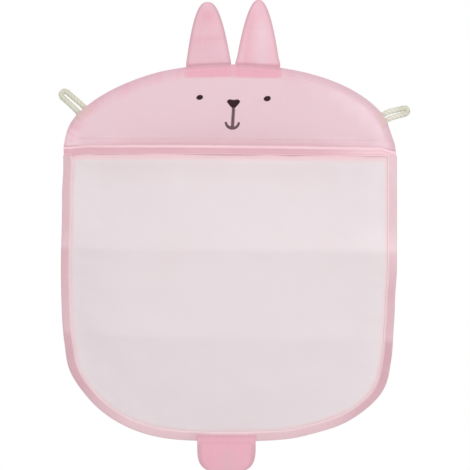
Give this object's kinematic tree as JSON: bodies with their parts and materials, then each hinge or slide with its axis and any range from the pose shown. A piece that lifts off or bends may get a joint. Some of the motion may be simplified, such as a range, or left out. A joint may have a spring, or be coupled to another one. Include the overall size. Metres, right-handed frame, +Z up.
{
  "type": "bath toy organizer",
  "caption": "Hanging bath toy bag shaped as a rabbit: cloth head with ears and a stitched face, open-topped net pocket below, tail tab, and cord loops at the shoulders for wall hooks.",
  "frame": {"origin": "middle of the hanging line between the two cord loops, on the wall plane behind the bag", "axes": "+Z up as it hangs, +Y into the wall so that the front faces -Y, +X to the right as seen from the front"},
  "size_m": [0.3476, 0.0257, 0.4653],
  "materials": {
    "head_cloth": "sheer matte weave",
    "trim_cloth": "matte woven tape",
    "ear_cloth": "matte weave",
    "back_cloth": "sheer matte weave",
    "net": "fine knitted net",
    "cord": "cotton cord",
    "thread": "satin stitch"
  },
  "bodies": {
    "bag": {"back_panel": "back_cloth", "head_panel": "head_cloth", "pocket_net": "net", "pocket_hem": "trim_cloth", "pocket_binding": "trim_cloth", "ear_left_root": "ear_cloth", "ear_right_root": "ear_cloth", "tail_root": "trim_cloth", "loop_left_root": "cord", "loop_right_root": "cord", "eye_left": "thread", "eye_right": "thread", "nose": "thread", "mouth": "thread"},
    "ear_left": {"ear_left_front": "ear_cloth", "ear_left_back": "ear_cloth"},
    "ear_right": {"ear_right_front": "ear_cloth", "ear_right_back": "ear_cloth"},
    "tail": {"tail_front": "trim_cloth", "tail_back": "trim_cloth"},
    "loop_left": {"loop_left": "cord"},
    "loop_right": {"loop_right": "cord"}
  },
  "joints": [
    {"name": "ear_left_flop", "type": "hinge", "parent": "bag", "child": "ear_left", "pos_m": [-0.0206, -0.00235, 0.04195], "axis": [0.9998, 0, 0.0192], "range_deg": [-125, 125], "stiffness_Nm_per_rad": 0.004},
    {"name": "ear_right_flop", "type": "hinge", "parent": "bag", "child": "ear_right", "pos_m": [0.0278, -0.00235, 0.04161], "axis": [0.9999, 0, -0.0157], "range_deg": [-125, 125], "stiffness_Nm_per_rad": 0.004},
    {"name": "tail_flop", "type": "hinge", "parent": "bag", "child": "tail", "pos_m": [-0.0034, -0.00425, -0.335], "axis": [-1, 0, 0], "range_deg": [-100, 110]},
    {"name": "loop_left_swing", "type": "hinge", "parent": "bag", "child": "loop_left", "pos_m": [-0.14878, -0.00235, -0.00325], "axis": [0, 1, 0], "range_deg": [-50, 50], "stiffness_Nm_per_rad": 0.001},
    {"name": "loop_right_swing", "type": "hinge", "parent": "bag", "child": "loop_right", "pos_m": [0.15649, -0.00235, -0.0107], "axis": [0, 1, 0], "range_deg": [-70, 25], "stiffness_Nm_per_rad": 0.001}
  ]
}
